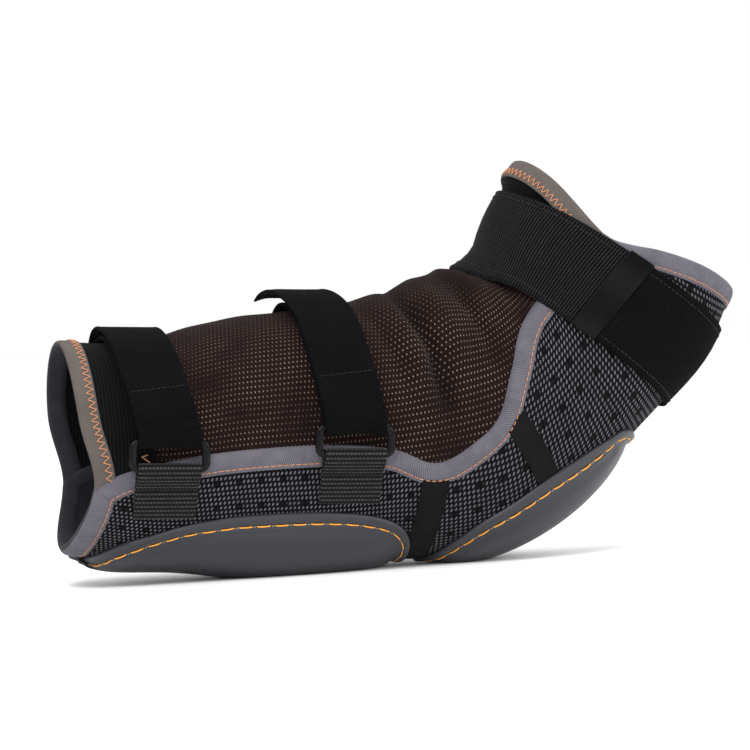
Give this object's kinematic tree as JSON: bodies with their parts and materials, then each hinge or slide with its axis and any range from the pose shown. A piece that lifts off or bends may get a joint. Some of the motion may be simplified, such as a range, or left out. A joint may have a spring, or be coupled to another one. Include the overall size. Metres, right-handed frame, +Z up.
{
  "type": "hock and tendon boot",
  "caption": "Horse's hind-leg boot: bent mesh and neoprene sleeve with two moulded caps, looped hook-and-loop straps and a wide closing strap at the hock.",
  "frame": {"origin": "on the flat underside of the tendon cap, in the boot's middle plane", "axes": "+X from the cannon opening towards the hock, +Z up as it lies on its caps, -Y the side with the strap loops"},
  "size_m": [0.4287, 0.1223, 0.2384],
  "materials": {
    "neoprene_lining": "matte",
    "spacer_mesh": "matte",
    "stretch_mesh": "matte",
    "grey_facing": "matte",
    "grey_binding": "matte",
    "seam_tape": "matte",
    "cap_plastic": "satin",
    "pad_foam": "matte",
    "tab_webbing": "matte",
    "loop_plastic": "gloss",
    "strap_fabric": "matte",
    "hook_tape": "matte",
    "woven_elastic": "matte",
    "keeper_tape": "matte"
  },
  "bodies": {
    "cannon_section": {"cannon_liner": "neoprene_lining", "cannon_panel": "spacer_mesh", "cannon_front_mesh": "stretch_mesh", "cannon_mesh_facing": "grey_facing", "cannon_binding": "grey_binding", "flex_liner": "neoprene_lining", "flex_panel": "spacer_mesh", "flex_front_mesh": "stretch_mesh", "flex_binding": "grey_binding", "flex_seam_tape": "seam_tape", "tendon_cap": "cap_plastic", "tendon_pad": "pad_foam", "lower_loop_tab": "tab_webbing", "upper_loop_tab": "tab_webbing", "lower_strap": "strap_fabric", "upper_strap": "strap_fabric"},
    "gaskin_section": {"gaskin_liner": "neoprene_lining", "gaskin_panel": "spacer_mesh", "gaskin_front_mesh": "stretch_mesh", "gaskin_mesh_facing": "grey_facing", "gaskin_binding": "grey_binding", "gaskin_top_binding": "grey_binding", "hock_seam_tape": "seam_tape", "hock_cap": "cap_plastic", "hock_pad": "pad_foam", "gaskin_strap_elastic": "woven_elastic", "gaskin_strap_keeper": "keeper_tape", "gaskin_strap_bend": "strap_fabric"},
    "gaskin_strap": {"gaskin_strap_end": "strap_fabric", "gaskin_strap_hook": "hook_tape"},
    "lower_loop": {"lower_loop": "loop_plastic", "lower_strap_fold": "strap_fabric", "lower_strap_bend": "strap_fabric"},
    "upper_loop": {"upper_loop": "loop_plastic", "upper_strap_fold": "strap_fabric", "upper_strap_bend": "strap_fabric"},
    "lower_flap": {"lower_strap_flap": "strap_fabric", "lower_strap_hook": "hook_tape"},
    "upper_flap": {"upper_strap_flap": "strap_fabric", "upper_strap_hook": "hook_tape"}
  },
  "joints": [
    {"name": "hock_flex", "type": "hinge", "parent": "cannon_section", "child": "gaskin_section", "pos_m": [0.106, 0, 0.003], "axis": [0, -1, 0], "range_deg": [-10, 12], "deforming": ["flex_liner", "flex_panel", "flex_front_mesh", "flex_binding", "flex_seam_tape"]},
    {"name": "lower_loop_swivel", "type": "hinge", "parent": "cannon_section", "child": "lower_loop", "pos_m": [-0.05445, -0.05587, 0.06851], "axis": [0.9984, 0, -0.0558], "range_deg": [0, 35]},
    {"name": "upper_loop_swivel", "type": "hinge", "parent": "cannon_section", "child": "upper_loop", "pos_m": [0.05555, -0.05996, 0.07081], "axis": [0.9984, 0, -0.0558], "range_deg": [0, 35]},
    {"name": "lower_strap_peel", "type": "hinge", "parent": "lower_loop", "child": "lower_flap", "pos_m": [-0.05322, -0.05877, 0.09048], "axis": [0.9984, 0, -0.0558], "range_deg": [0, 110], "deforming": ["lower_strap_bend"]},
    {"name": "upper_strap_peel", "type": "hinge", "parent": "upper_loop", "child": "upper_flap", "pos_m": [0.05678, -0.06286, 0.09278], "axis": [0.9984, 0, -0.0558], "range_deg": [0, 110], "deforming": ["upper_strap_bend"]},
    {"name": "gaskin_strap_peel", "type": "hinge", "parent": "gaskin_section", "child": "gaskin_strap", "pos_m": [0.22757, -0.0556, 0.14943], "axis": [-0.7069, -0.0241, -0.7069], "range_deg": [0, 100], "deforming": ["gaskin_strap_bend"]}
  ]
}
